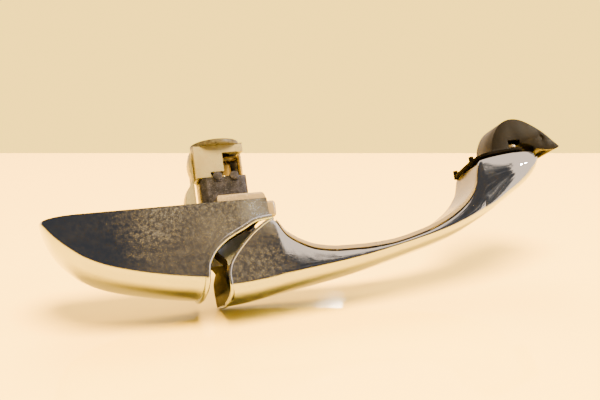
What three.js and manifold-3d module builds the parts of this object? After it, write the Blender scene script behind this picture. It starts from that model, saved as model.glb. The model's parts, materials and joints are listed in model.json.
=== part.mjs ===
// Exterior car door handle: a chromed end cap that carries the lock tower, and a
// bowed pull grip that pivots on a plastic hook at its front end.
//
// Everything is drawn in handle axes: +X runs from the cap to the hook, +Z points
// into the door, and Z = 0 is the door skin under the cap. The outermost group then
// leans the handle over to the way it rests when it is put down on its outer face.

import * as THREE from "three";
import { mergeVertices } from "three/addons/utils/BufferGeometryUtils.js";
import Module from "manifold-3d";

const wasm = await Module();
wasm.setup();

// ---------- driving dimensions, mm ----------
const LEAN = 30; // degrees the handle leans back about its long axis
const ORIGIN_X = -40; // the origin sits on the cap's door face at this station
const GAP = 0.3; // clearance between neighbouring pieces

const WALL = 2.2; // chromed skin
const CAP_TIP = -80.6;
const CAP_EAR = 19.6; // right end of the cap's door-side ear
const CAP_HALF = 17; // half width at the crease
const RIM_IN = 1.6; // how much narrower the rim is than the crease
const BASE_T = 3; // inner carrier plate

const PLINTH = { x0: -5, x1: 16.2, half: 15, top: 3.3, bevel: 1.2 };

const TOWER_R = 11.2;
const TOWER_FLAT = 7.3; // flat on the near side, from the lock axis
const SOCKET_TOP = 13;
const TOWER_TOP = 30.4;
const BORE_R = 7.4;
const PLUG_R = 6.2;
const PLUG_FACE = -11;
const PLUG_TOP = 21;

const GRIP_END = -5.5;
const GRIP_RIGHT = 160.5;
const LINER_T = 2.6;
const HOOK_HALF = 9;

const SEG = 32;

// ---------- looks ----------
const finish = (color, roughness, metalness) =>
  new THREE.MeshStandardMaterial({ color, roughness, metalness });
const CHROME = finish(0xdedad2, 0.05, 1);
const LINER = finish(0xcfc5b4, 0.22, 0.8);
const ZINC = finish(0xc8b896, 0.32, 0.9);
const PLATED = finish(0x6b5d60, 0.5, 0.7);
const BRASS = finish(0xc9a23a, 0.25, 1);
const STEEL = finish(0xb9b4aa, 0.25, 1);
const BLACK = finish(0x2b241c, 0.45, 0);
const RUBBER = finish(0x1d1a17, 0.8, 0);

// ---------- solids ----------
function solid(geometry) {
  const bare = geometry.index ? geometry.clone() : geometry;
  bare.deleteAttribute("normal");
  bare.deleteAttribute("uv");
  const g = mergeVertices(bare, 1e-4);
  let index = Array.from(g.index.array);
  const p = g.attributes.position.array;
  const keep = [];
  for (let i = 0; i < index.length; i += 3) {
    const [a, b, c] = [index[i], index[i + 1], index[i + 2]];
    if (a !== b && b !== c && c !== a) keep.push([a, b, c]);
  }
  let volume = 0;
  for (const [a, b, c] of keep) {
    const va = new THREE.Vector3().fromArray(p, 3 * a);
    const vb = new THREE.Vector3().fromArray(p, 3 * b);
    const vc = new THREE.Vector3().fromArray(p, 3 * c);
    volume += va.dot(vb.cross(vc));
  }
  index = keep.flatMap(([a, b, c]) => (volume < 0 ? [a, c, b] : [a, b, c]));
  return new wasm.Manifold(
    new wasm.Mesh({
      numProp: 3,
      vertProperties: Float32Array.from(p),
      triVerts: Uint32Array.from(index),
    })
  );
}

function geometryOf(manifold) {
  const m = manifold.getMesh();
  const g = new THREE.BufferGeometry();
  g.setAttribute("position", new THREE.BufferAttribute(m.vertProperties, 3));
  g.setIndex(new THREE.BufferAttribute(m.triVerts, 1));
  g.computeVertexNormals();
  return g;
}

function piece(name, body, material) {
  const mesh = new THREE.Mesh(geometryOf(body), material);
  mesh.name = name;
  return mesh;
}

const cut = (body, ...tools) => tools.reduce((b, t) => b.subtract(t), body);
const join = (body, ...more) => more.reduce((b, t) => b.add(t), body);

function outline(points) {
  return new THREE.Shape(points.map(([a, b]) => new THREE.Vector2(a, b)));
}

// A smooth closed outline: straight runs where `points` are plain, splines between.
function smooth(points, divisions) {
  const curve = new THREE.SplineCurve(points.map(([a, b]) => new THREE.Vector2(a, b)));
  return curve.getPoints(divisions).map((v) => [v.x, v.y]);
}

// Outline in X and Z, running across the handle from y0 to y1.
function across(points, y0, y1, place = (g) => g) {
  const g = new THREE.ExtrudeGeometry(outline(points), { depth: y1 - y0, bevelEnabled: false });
  g.rotateX(Math.PI / 2);
  g.translate(0, y1, 0);
  return solid(place(g));
}

// Outline in X and Y, running along the door normal from z0 to z1.
function upright(points, z0, z1) {
  const g = new THREE.ExtrudeGeometry(outline(points), { depth: z1 - z0, bevelEnabled: false });
  g.translate(0, 0, z0);
  return solid(g);
}

function block(x0, x1, y0, y1, z0, z1) {
  const g = new THREE.BoxGeometry(x1 - x0, y1 - y0, z1 - z0);
  g.translate((x0 + x1) / 2, (y0 + y1) / 2, (z0 + z1) / 2);
  return solid(g);
}

function rod(r, z0, z1, x = 0, y = 0, seg = SEG) {
  const g = new THREE.CylinderGeometry(r, r, z1 - z0, seg);
  g.rotateX(Math.PI / 2);
  g.translate(x, y, (z0 + z1) / 2);
  return solid(g);
}

// ---------- lofted forms ----------
// Value of a curve given by a few [x, value] points, eased between them.
function along(points) {
  const n = points.length;
  const slope = points.map(([x, v], i) => {
    if (i === 0 || i === n - 1) {
      const [a, b] = i === 0 ? [points[0], points[1]] : [points[n - 2], points[n - 1]];
      return (b[1] - a[1]) / (b[0] - a[0]);
    }
    const left = (v - points[i - 1][1]) / (x - points[i - 1][0]);
    const right = (points[i + 1][1] - v) / (points[i + 1][0] - x);
    return left * right <= 0 ? 0 : (2 * left * right) / (left + right);
  });
  return (x) => {
    if (x <= points[0][0]) return points[0][1];
    if (x >= points[n - 1][0]) return points[n - 1][1];
    const i = points.findIndex((p) => p[0] > x) - 1;
    const [x0, v0] = points[i];
    const [x1, v1] = points[i + 1];
    const h = x1 - x0;
    const t = (x - x0) / h;
    const a = v0 * (1 + 2 * t) * (1 - t) ** 2 + v1 * t * t * (3 - 2 * t);
    return a + h * (slope[i] * t * (1 - t) ** 2 - slope[i + 1] * t * t * (1 - t));
  };
}

// A tube of sections: `section(x)` gives the same number of [y, z] points at every station.
function loft(stations, section) {
  const rings = stations.map((x) => section(x));
  const sides = rings[0].length;
  const rows = stations.length - 1;
  const g = new THREE.CylinderGeometry(1, 1, 1, sides, rows);
  const p = g.attributes.position;
  for (let k = 0; k < p.count; k += 1) {
    const row = Math.round((0.5 - p.getY(k)) * rows);
    const ring = rings[row];
    const turn = Math.atan2(p.getX(k), p.getZ(k)) / (2 * Math.PI);
    const j = Math.round((turn + 1) * sides) % sides;
    if (Math.hypot(p.getX(k), p.getZ(k)) > 0.5) {
      p.setXYZ(k, stations[row], ring[j][0], ring[j][1]);
    } else {
      const y = ring.reduce((s, q) => s + q[0], 0) / sides;
      const z = ring.reduce((s, q) => s + q[1], 0) / sides;
      p.setXYZ(k, stations[row], y, z);
    }
  }
  return solid(g);
}

// Section of the handle: flat on the door side, straight flanks that widen to a crease,
// and a crowned outer face that leans down towards the far side.
function dSection({ half, rimIn, top, crease, crown, slant, inset = 0 }) {
  const h = Math.max(half - inset, 0.4);
  const rim = Math.max(h - rimIn, 0.3);
  const zn = Math.min(crease + inset * 0.8, top - 0.2);
  const zf = Math.min(crease - slant + inset * 0.8, top - 0.2);
  const points = [[-rim, top]];
  points.push([-(h - rimIn * 0.4), (top * 0.5 + zn * 0.5)]);
  const ARC = 8;
  for (let k = 0; k <= ARC; k += 1) {
    const t = k / ARC;
    const y = -h * Math.cos(Math.PI * (0.06 + 0.88 * t)) / Math.cos(Math.PI * 0.06);
    const z = zn + (zf - zn) * t - crown * Math.sin(Math.PI * t) ** 0.8;
    points.push([y, z]);
  }
  points.push([h - rimIn * 0.4, (top * 0.5 + zf * 0.5)]);
  points.push([rim, top]);
  points.push([rim * 0.5, top]);
  points.push([0, top]);
  points.push([-rim * 0.5, top]);
  return points;
}

const range = (n, f) => Array.from({ length: n }, (_, i) => f(i));

// ---------- end cap ----------
const capCrease = along([
  [CAP_TIP, -1.2], [-79, -3.2], [-75.7, -7.6], [-71, -12.6], [-64, -18],
  [-54, -22.8], [-40, -27], [-26, -30], [-13, -32], [CAP_EAR, -34],
]);
const capCrown = along([[CAP_TIP, 2.6], [-76, 5.2], [-66, 6], [-40, 5.4], [CAP_EAR, 5.2]]);
const capSlant = along([[CAP_TIP, 1.6], [-72, 3.6], [-50, 4.4], [CAP_EAR, 4.8]]);
const capHalf = (x) => {
  const s = Math.min((x - CAP_TIP + 0.35) / 17, 1);
  return CAP_HALF * (1 - (1 - s) ** 2.6) ** (1 / 2.6);
};

const capStations = [
  ...range(10, (i) => CAP_TIP + 17 * (i / 9) ** 1.8),
  ...range(10, (i) => -58 + (i * (CAP_EAR + 58)) / 9),
];
const capForm = loft(capStations, (x) =>
  dSection({
    half: capHalf(x), rimIn: RIM_IN, top: 0,
    crease: capCrease(x), crown: capCrown(x), slant: capSlant(x),
  })
);
const capCore = loft([-77, -74, -70, -64, -56, -44, -30, -14, 4, CAP_EAR + 2], (x) =>
  dSection({
    half: capHalf(x), rimIn: RIM_IN * 0.6, top: 2, inset: WALL,
    crease: capCrease(x) + 0.8, crown: Math.max(capCrown(x) - 0.6, 0.5), slant: capSlant(x),
  })
);

// The seam is an S across the side of the handle; the cap lies above and left of it.
const capSeam = smooth(
  [[22, -8.2], [12.6, -8.9], [5.6, -12.2], [-4.4, -17.4], [-10.2, -22.8],
    [-12.9, -28], [-13.6, -33], [-14.4, -46]], 26
);
const seamCut = across([...capSeam, [-14.4, -60], [60, -60], [60, -8.2]], -30, 30);

const plinth = across(
  [
    [PLINTH.x0, -1], [PLINTH.x1 + 1.4, -1], [PLINTH.x1, PLINTH.top],
    [PLINTH.x0 + 0.4, PLINTH.top], [PLINTH.x0, PLINTH.top - 0.4],
  ],
  -PLINTH.half, PLINTH.half
);
const plinthBevel = [-1, 1].map((s) => {
  const y = s * PLINTH.half;
  const wedge = new THREE.BoxGeometry(60, PLINTH.bevel * 1.5, PLINTH.bevel * 1.5);
  wedge.rotateX(Math.PI / 4);
  wedge.translate(0, y, PLINTH.top);
  return solid(wedge);
});
const boreWell = rod(TOWER_R + 0.2, -12, 8);
const capShell = cut(
  join(cut(capForm, capCore), plinth),
  seamCut, ...plinthBevel, boreWell,
  block(-8.6, 30, -12.4, 12.4, -20, 1.1),
  block(PLINTH.x0 + 2.2, PLINTH.x1 - 2.4, -11.2, 11.2, -1, 6)
);

// Carrier plate inside the rim, with ribs that stand on the skin's inner face.
const baseHalf = (x) => capHalf(x) - RIM_IN - WALL - 0.9;
const baseEdge = range(16, (i) => -75.5 + (65 * i) / 15);
const basePlan = [
  ...baseEdge.map((x) => [x, -Math.max(baseHalf(x), 1.5)]),
  ...baseEdge.slice().reverse().map((x) => [x, Math.max(baseHalf(x), 1.5)]),
];
const capBase = cut(
  join(
    upright(basePlan, -BASE_T, 0),
    rod(3.4, -9, -1, -60, 0, 20),
    rod(3.4, -9, -1, -24, 7, 20),
    block(-70, -16, -0.9, 0.9, -7, -1)
  ),
  rod(1.25, -10, 0.6, -60, 0, 16),
  rod(1.25, -10, 0.6, -24, 7, 16),
  rod(2.7, -1.4, 0.6, -60, 0, 20),
  rod(2.7, -1.4, 0.6, -24, 7, 20)
);

function panScrew(x, y, z) {
  const profile = [
    [0, -7], [0.8, -7], [1, -6.2], [1, 0], [2.4, 0], [2.4, 0.7], [1.7, 1.2], [0, 1.3],
  ];
  const g = new THREE.LatheGeometry(profile.map(([r, h]) => new THREE.Vector2(r, h)), 16);
  g.rotateX(Math.PI / 2);
  g.translate(x, y, z);
  const body = solid(g);
  return cut(
    body,
    block(x - 1.5, x + 1.5, y - 0.3, y + 0.3, z + 0.7, z + 2),
    block(x - 0.3, x + 0.3, y - 1.5, y + 1.5, z + 0.7, z + 2)
  );
}

// ---------- lock tower ----------
const flatCut = (z0, z1, y = -TOWER_FLAT) => block(-20, 20, y - 12, y, z0, z1);

const socketBody = cut(
  join(rod(TOWER_R - 0.2, -3, SOCKET_TOP), block(2, 11, -8.2, 0, -3, SOCKET_TOP)),
  flatCut(-5, SOCKET_TOP + 1, -8.2),
  rod(BORE_R, -5, SOCKET_TOP + 1),
  block(-30, -TOWER_R + 1.6, -20, 20, -5, SOCKET_TOP + 1)
);
const snap = (x, z) =>
  join(
    block(x - 1.7, x + 1.7, -8.6, -7.1, SOCKET_TOP - 2, z),
    across(
      range(14, (i) => {
        const a = (2 * Math.PI * i) / 14;
        return [x + 2.1 * Math.cos(a), z + 1.9 * Math.sin(a)];
      }),
      -9.1, -7.1
    )
  );
const lockSocket = join(socketBody, snap(-2, 13.4), snap(5.6, 13.1));

const housingBody = cut(
  join(
    rod(TOWER_R, SOCKET_TOP + GAP, TOWER_TOP - 0.4),
    block(-11.2, 11.4, -TOWER_FLAT, 0, SOCKET_TOP + GAP, TOWER_TOP - 2)
  ),
  flatCut(SOCKET_TOP - 1, TOWER_TOP - 2.4),
  rod(PLUG_R + 0.35, SOCKET_TOP - 1, TOWER_TOP - 3)
);
const windowCut = block(1.6, 20, -20, 3.5, 0, 24.4);
const lockHousing = cut(
  housingBody,
  windowCut,
  block(-4.6, 8.6, -9.4, -5.4, 0, 15.7),
  rod(1.2, TOWER_TOP - 6, TOWER_TOP + 1, -5, 5, 12)
);

// Brass guard wrapped round the open corner of the housing.
const guardShape = new THREE.Shape();
guardShape.absarc(0, 0, TOWER_R + 0.3, -0.62, 0.25, false);
guardShape.absarc(0, 0, TOWER_R - 0.7, 0.25, -0.62, true);
const guardGeometry = new THREE.ExtrudeGeometry(guardShape, {
  depth: 10, bevelEnabled: false, curveSegments: 12,
});
guardGeometry.translate(0, 0, SOCKET_TOP + GAP);
const lockGuard = solid(guardGeometry);

const claw = across(
  [
    ...smooth([[-11.7, 27.4], [-13, 22.5], [-12.9, 18.6], [-12.2, 15.4], [-13, 12.2],
      [-15, 9.6], [-16.4, 5.4], [-17, 0.3]], 20),
    [-11.7, 0.3],
  ],
  -2.5, 5
);

// ---------- lock barrel and what turns with it ----------
const SLOTS = [14.8, 16.9, 19];
const wafer = (z) => cut(block(-1.9, 1.9, -5.4, 5.4, z - 0.35, z + 0.35));
const plugBody = cut(
  join(
    rod(PLUG_R, PLUG_FACE, PLUG_TOP),
    rod(PLUG_R + 0.6, PLUG_FACE, PLUG_FACE + 1.4)
  ),
  block(-0.7, 0.7, -3.6, 3.6, PLUG_FACE - 1, PLUG_FACE + 9),
  block(1.6, 10, -10, -1.2, 14, 24),
  ...SLOTS.map((z) => block(-2.2, 2.2, -8, 6, z - 0.65, z + 0.65))
);
const lockPlug = join(plugBody, rod(1.9, PLUG_TOP - 0.6, PLUG_TOP + 3.2, 0, 0, 20));

const lockCam = cut(
  join(rod(4.6, PLUG_TOP + GAP, PLUG_TOP + 2.2, 0, 0, 24), block(0, 9.6, -3.4, 0.6, PLUG_TOP + GAP, 23.2)),
  rod(2.2, PLUG_TOP, PLUG_TOP + 3)
);
const camClip = cut(rod(3.2, 23.5, 24.1, 0, 0, 24), rod(2.15, 23, 25), block(0.9, 4, -1.2, 1.2, 23, 25));

class Coil extends THREE.Curve {
  constructor(radius, turns, z0, pitch) {
    super();
    Object.assign(this, { radius, turns, z0, pitch });
  }

  getPoint(t, target = new THREE.Vector3()) {
    const a = 2 * Math.PI * this.turns * t;
    return target.set(
      this.radius * Math.cos(a), this.radius * Math.sin(a), this.z0 + this.pitch * this.turns * t
    );
  }
}
function coilSpring(radius, wire, turns, z0, pitch) {
  const ring = new THREE.Shape();
  ring.absarc(0, 0, wire / 2, 0, 2 * Math.PI, false);
  return solid(
    new THREE.ExtrudeGeometry(ring, {
      steps: Math.round(22 * turns), curveSegments: 6, bevelEnabled: false,
      extrudePath: new Coil(radius, turns, z0, pitch),
    })
  );
}
const plugSpring = coilSpring(6.85, 0.7, 3.2, -1.5, 1.5);

// ---------- pull grip ----------
const gripTop = along([
  [GRIP_END, -8.8], [19, -9.2], [24.5, -15.6], [31, -20], [38, -22.8], [48, -24.3],
  [60, -24.5], [72, -23.9], [90, -20.2], [103, -15.4], [111.5, -10.6], [117.5, -5.4],
  [121, 0], [123, 6.4], [125, 9.6], [131, 11.2], [139, 12.2], [150, 13.2], [GRIP_RIGHT, 14],
]);
const gripCrease = along([
  [GRIP_END, -36.6], [5, -36.2], [26.5, -33.7], [56, -30], [77, -26.2],
  [107, -19.6], [127, -12.4], [136, -7.6], [146, -2], [153, 3], [158, 8], [GRIP_RIGHT, 12],
]);
const gripCrown = along([[GRIP_END, 4.6], [60, 4], [110, 2.8], [130, 2], [150, 1.6], [GRIP_RIGHT, 0.4]]);
const gripSlant = along([[GRIP_END, 4.6], [60, 3.4], [110, 2.6], [130, 1.8], [150, 1.4], [GRIP_RIGHT, 0.4]]);
const gripWide = along([[GRIP_END, CAP_HALF], [20, 16.6], [60, 15], [100, 14], [130, 14.4]]);
const gripHalf = (x) => {
  const s = Math.max((x - 136) / (GRIP_RIGHT + 0.4 - 136), 0);
  return gripWide(x) * (1 - s ** 2.5) ** (1 / 2.2);
};
const gripSection = (x, extra = {}) =>
  dSection({
    half: gripHalf(x), rimIn: RIM_IN, top: gripTop(x),
    crease: gripCrease(x), crown: gripCrown(x), slant: gripSlant(x), ...extra,
  });
const gripStations = [
  GRIP_END - 3, 4, 12, 19, 21.5, 24.5, 28, 33, 39, 47, 58, 70, 82, 93, 103, 110, 115,
  118, 120, 121.6, 123, 124.4, 127, 132, 138, 144, 149, 153, 156, 158.4, GRIP_RIGHT,
];
const gripForm = loft(gripStations, (x) => gripSection(x));
const gripSeam = smooth(
  [[20.5, -8.2], [14.6, -11.2], [6.9, -16.8], [-0.6, -24.6], [-3.2, -28.6],
    [-4.3, -33], [-3.4, -48]], 22
);
const gripCut = across([[-30, -8.2], [-30, -60], [-3.4, -60], ...gripSeam.slice().reverse()], -30, 30);
const gripBody = cut(gripForm, gripCut);

// Hollow of the chromed shell, open on the finger side where the liner closes it.
const troughStations = [8, 14, 20, 24.5, 28, 33, 39, 47, 58, 70, 82, 93, 103, 110, 114];
const trough = loft(troughStations, (x) =>
  gripSection(x, {
    inset: WALL + 0.4, top: gripTop(x) + 3, rimIn: RIM_IN * 0.4,
    crease: Math.min(gripCrease(x) + 1.6, gripTop(x) - 2.4),
    crown: Math.max(gripCrown(x) - 1.4, 0.4),
  })
);
const gripShell = cut(gripBody, trough);

const linerStations = [22, 24.5, 28, 33, 39, 47, 58, 70, 82, 93, 103, 110, 113];
const linerForm = loft(linerStations, (x) =>
  gripSection(x, {
    inset: WALL + 1, rimIn: 0.4, crown: 0.1, slant: 0, top: gripTop(x) + 0.5,
    crease: gripTop(x) - LINER_T - 0.8,
  })
);
const gripLiner = linerForm;

// ---------- pivot hook, its screw and the door pad ----------
const hookBack = smooth(
  [[133.6, 12.9], [134.4, 16.6], [136, 21.4], [139, 26], [143, 29], [147.6, 30],
    [152.6, 29.1], [158.2, 26.1], [163.6, 22.1], [168, 17.6], [171, 14.6]], 26
);
const hookBelly = smooth(
  [[168.8, 13.3], [165.4, 13.1], [161.4, 13.5], [158.4, 14.2], [156.4, 15.6], [153.6, 17], [149.6, 17.6]], 16
);
const hookOutline = [
  ...hookBack, [170.6, 14], ...hookBelly, [147.4, 16], [147.4, 13.4], [134.4, 12.9]
];
const padTop = (x) => 11.2 + (x - 131) * 0.1;
// The seat under the hook falls away towards the far side.
const SEAT_TILT = -Math.atan(0.2);
const tilted = (g) =>
  g.translate(0, 9, -12).rotateX(SEAT_TILT).translate(0, -9, 12);
const hookFoot = upright(
  [[134.5, -7], [147.4, -7], [147.4, 7], [134.5, 7]], 5, 14
);
const footPocket = block(134.2, 147.7, -7.3, 7.3, 4.7, 20);
const hookBase = cut(
  across([[133.6, 6], [147.4, 6], [147.4, 15], [133.8, 15]], -HOOK_HALF, HOOK_HALF),
  across(
    [[110, padTop(110) + GAP], [180, padTop(180) + GAP], [180, -30], [110, -30]], -40, 40, tilted
  )
);
const beakUndercut = block(160.6, 167.6, -HOOK_HALF + 1.6, HOOK_HALF - 1.6, 6, 15.2);
const screwPocket = join(
  block(143.6, 150, -HOOK_HALF - 2, -HOOK_HALF + 5.6, 15.6, 19.4),
  rod(1.3, 4, 16, 146.4, -6.2, 14)
);
const hookBody = join(
  cut(across(hookOutline, -HOOK_HALF, HOOK_HALF), block(120, 147.5, -20, 20, 5, 13.4)),
  hookBase, hookFoot
);
const lightening = join(
  block(136, 140, -4.8, 4.8, 3, 21), block(141.6, 145.4, -3.2, 4.8, 3, 24)
);
const ring = (x, z, r) => range(20, (i) => {
  const a = (i * Math.PI) / 10;
  return [x + r * Math.cos(a), z + r * Math.sin(a)];
});
const eyeMark = cut(
  across(ring(161.4, 19.3, 1.9), -HOOK_HALF - 1, -HOOK_HALF + 0.5),
  across(ring(161, 19.1, 1.2), -HOOK_HALF - 2, -HOOK_HALF + 2),
  block(158.6, 161.4, -20, 0, 15, 24)
);
const pivotHook = cut(hookBody, beakUndercut, screwPocket, lightening, eyeMark);

const hookScrewBody = new THREE.LatheGeometry(
  [[0, -7.4], [0.7, -7.2], [1, -6.4], [1, 0.6], [2.1, 0.6], [2.3, 0.9], [2.3, 1.7], [1.7, 2.3], [0, 2.4]]
    .map(([r, h]) => new THREE.Vector2(r, h)), 20
);
hookScrewBody.rotateX(Math.PI / 2);
hookScrewBody.translate(146.4, -6.2, 15.2);
const hookScrew = cut(solid(hookScrewBody), block(144, 149, -6.5, -5.9, 16.9, 18));

const padPlan = range(36, (i) => {
  const a = (2 * Math.PI * i) / 36;
  const c = Math.cos(a);
  const s = Math.sin(a);
  const y = 12.6 * Math.sign(s) * Math.abs(s) ** 0.5;
  const reach = c > 0 ? 15.4 : 11.6 + (y + 12.6) * 0.19;
  return [136 + reach * Math.sign(c) * Math.abs(c) ** 0.5, y];
});
const padStrip = across(
  [[116, padTop(116) + GAP], [160, padTop(160) + GAP], [160, padTop(160) + 1.5], [116, padTop(116) + 1.5]],
  -16, 18, tilted
).intersect(upright(padPlan, -5, 30));
const padForm = join(
  cut(padStrip, block(133.2, 147.8, -HOOK_HALF - 0.4, HOOK_HALF + 0.4, 0, 30)),
  rod(1.2, 9.6, 14.4, 126.4, -1, 12), rod(1.2, 6.6, 10.8, 122.6, 11, 12)
);

const gripWithPocket = cut(
  gripShell, footPocket,
  across([[100, padTop(100)], [180, padTop(180)], [180, 60], [100, 60]], -40, 40, tilted),
  rod(1.5, 6.5, 14, 146.4, -6.2, 14)
);

// ---------- assembly ----------
const capGroup = new THREE.Group();
capGroup.add(
  piece("cap_shell", capShell, CHROME),
  piece("cap_base", capBase, PLATED),
  piece("base_screw_1", panScrew(-60, 0, -1.1), STEEL),
  piece("base_screw_2", panScrew(-24, 7, -1.1), STEEL),
  piece("lock_socket", lockSocket, PLATED),
  piece("lock_housing", lockHousing, ZINC),
  piece("lock_guard", lockGuard, BRASS),
  piece("fixing_claw", claw, ZINC)
);

const lockGroup = new THREE.Group();
lockGroup.add(
  piece("lock_plug", lockPlug, BRASS),
  piece("lock_cam", lockCam, BRASS),
  piece("cam_clip", camClip, STEEL),
  piece("plug_spring", plugSpring, STEEL),
  ...SLOTS.map((z, i) => piece(`wafer_${i + 1}`, wafer(z), BRASS))
);

const gripGroup = new THREE.Group();
gripGroup.add(
  piece("grip_shell", gripWithPocket, CHROME),
  piece("grip_liner", gripLiner, LINER),
  piece("pivot_hook", pivotHook, BLACK),
  piece("hook_screw", hookScrew, STEEL),
  piece("front_pad", padForm, RUBBER)
);

const handle = new THREE.Group();
handle.add(capGroup, lockGroup, gripGroup);
handle.position.set(-ORIGIN_X, 0, 0);
handle.rotation.x = THREE.MathUtils.degToRad(-LEAN);

const part = new THREE.Group();
part.add(handle);
export default part;
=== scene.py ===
"""Looks of an exterior car door handle.

A chromed end cap carries a lock tower, and a bowed pull grip turns in a hook at its far end.
"""

import json
import logging
import math
from dataclasses import dataclass, field
from enum import Enum
from typing import Callable, Dict, List, Optional, Sequence, Tuple, Union

import bmesh
import bpy
import numpy as np
from mathutils import Matrix, Vector

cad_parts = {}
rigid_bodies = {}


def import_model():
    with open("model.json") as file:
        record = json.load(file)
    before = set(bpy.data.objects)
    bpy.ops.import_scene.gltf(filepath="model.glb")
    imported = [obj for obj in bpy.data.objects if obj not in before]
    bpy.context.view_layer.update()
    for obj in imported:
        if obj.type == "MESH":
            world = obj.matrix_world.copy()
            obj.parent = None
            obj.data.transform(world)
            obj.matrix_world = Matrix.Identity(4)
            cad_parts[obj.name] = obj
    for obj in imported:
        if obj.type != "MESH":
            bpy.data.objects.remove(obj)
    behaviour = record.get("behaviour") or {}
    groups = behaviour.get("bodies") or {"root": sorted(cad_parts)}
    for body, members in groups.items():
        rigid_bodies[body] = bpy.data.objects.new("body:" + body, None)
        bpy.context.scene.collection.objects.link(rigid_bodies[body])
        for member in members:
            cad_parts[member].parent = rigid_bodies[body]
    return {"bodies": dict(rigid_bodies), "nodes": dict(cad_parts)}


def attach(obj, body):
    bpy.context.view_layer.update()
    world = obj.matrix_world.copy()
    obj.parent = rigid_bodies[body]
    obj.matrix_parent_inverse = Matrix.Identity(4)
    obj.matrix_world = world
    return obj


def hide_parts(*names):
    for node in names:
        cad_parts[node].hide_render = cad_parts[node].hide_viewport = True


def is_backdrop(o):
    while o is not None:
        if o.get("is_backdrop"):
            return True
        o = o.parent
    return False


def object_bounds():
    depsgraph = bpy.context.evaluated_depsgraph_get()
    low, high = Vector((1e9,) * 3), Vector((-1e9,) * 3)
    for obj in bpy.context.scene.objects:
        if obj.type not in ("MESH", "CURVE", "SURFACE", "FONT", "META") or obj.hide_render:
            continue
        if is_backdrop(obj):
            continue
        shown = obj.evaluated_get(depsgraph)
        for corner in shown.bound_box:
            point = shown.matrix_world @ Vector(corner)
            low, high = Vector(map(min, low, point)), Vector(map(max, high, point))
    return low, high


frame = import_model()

log = logging.getLogger("door_handle")

Point = Tuple[float, float]
Place = Tuple[float, float, float]
Color = Tuple[float, float, float]

MM = 0.001
LEAN = math.radians(-30.0)  # the handle lies tilted back by this turn about its length
DOOR_NORMAL = (0.0, 0.5, 0.866)  # from the handle to the door, in row axes
LOOKS_DOWN = "looks_down"  # vertex attribute: 1 where a face looks down at the table
STATIONS = 150  # sections worked out along a skin
ROUND_STEPS = 240  # steps of a section's outline
FACES_ROUND = 120  # faces round a skin
HANDLE_TO_ROW: Matrix = (
    Matrix.Translation((0.040, 0.0, 0.0)) @ Matrix.Rotation(LEAN, 4, "X") @ Matrix.Scale(MM, 4)
)


class Body(Enum):
    """The rigid bodies that pieces ride on."""

    CAP = "cap"
    LOCK = "lock"
    WAFER_A = "wafer_a"
    WAFER_B = "wafer_b"
    WAFER_C = "wafer_c"
    GRIP = "grip"


class Slot(Enum):
    """The record's material slots."""

    CHROME = "chrome"
    LINER = "liner"
    ZINC = "zinc"
    PLATED = "plated"
    BRASS = "brass"
    STEEL = "steel"
    PLASTIC = "black_plastic"
    RUBBER = "rubber"


# --------------------------------------------------------------------------- shader expressions


class Sock:
    """A node socket that can be used in Python expressions."""

    def __init__(self, owner: "Tree", socket: bpy.types.NodeSocket) -> None:
        """Wraps one output socket of a node tree."""
        self.owner = owner
        self.socket = socket

    def _math(self, operation: str, first: object, second: object = 0.0) -> "Sock":
        """Adds a Math node of the given operation.

        Args:
            operation: the Math node's operation.
            first: its first value or socket.
            second: its second value or socket.

        Returns:
            The node's output.
        """
        return self.owner.node("ShaderNodeMath", {"operation": operation}, {0: first, 1: second})

    def __add__(self, other: object) -> "Sock":
        """Sum."""
        return self._math("ADD", self, other)

    __radd__ = __add__

    def __sub__(self, other: object) -> "Sock":
        """Difference."""
        return self._math("SUBTRACT", self, other)

    def __rsub__(self, other: object) -> "Sock":
        """Difference from a value."""
        return self._math("SUBTRACT", other, self)

    def __mul__(self, other: object) -> "Sock":
        """Product."""
        return self._math("MULTIPLY", self, other)

    __rmul__ = __mul__

    def above(self, low: float, high: float) -> "Sock":
        """Eases from 0 at low to 1 at high.

        Args:
            low: where the ease starts.
            high: where it ends.

        Returns:
            The eased value.
        """
        return self.owner.node(
            "ShaderNodeMapRange",
            {"interpolation_type": "SMOOTHSTEP"},
            {"Value": self, "From Min": low, "From Max": high, "To Min": 0.0, "To Max": 1.0},
        )


class Tree:
    """A node tree whose nodes all come from one method."""

    def __init__(self, tree: bpy.types.NodeTree) -> None:
        """Wraps a node tree."""
        self.tree = tree

    def node(
        self,
        kind: str,
        settings: Optional[Dict[str, object]] = None,
        inputs: Optional[Dict[Union[str, int], object]] = None,
        output: Union[str, int] = 0,
    ) -> Sock:
        """Adds a node.

        Args:
            kind: the node's type.
            settings: attributes set before anything is linked; "stops" are a ramp's stops.
            inputs: values, sockets or Socks by input name or number.
            output: which output is wanted.

        Returns:
            The wanted output.
        """
        made = self.tree.nodes.new(kind)
        for key, value in (settings or {}).items():
            if key == "stops":
                self._set_stops(made.color_ramp.elements, value)
            else:
                setattr(made, key, value)
        for key, value in (inputs or {}).items():
            target = made.inputs[key]
            source = value.socket if isinstance(value, Sock) else value
            if isinstance(source, bpy.types.NodeSocket):
                self.tree.links.new(source, target)
            else:
                target.default_value = source
        return Sock(self, made.outputs[output])

    @staticmethod
    def _set_stops(
        elements: bpy.types.ColorRampElements, stops: Sequence[Tuple[float, Sequence[float]]]
    ) -> None:
        """Places a colour ramp's stops.

        Args:
            elements: the ramp's stops, of which it has two at first.
            stops: (place, colour) pairs from left to right.
        """
        elements.remove(elements[-1])
        elements[0].position, elements[0].color = stops[0]
        for place, color in stops[1:]:
            elements.new(place).color = color


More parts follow.
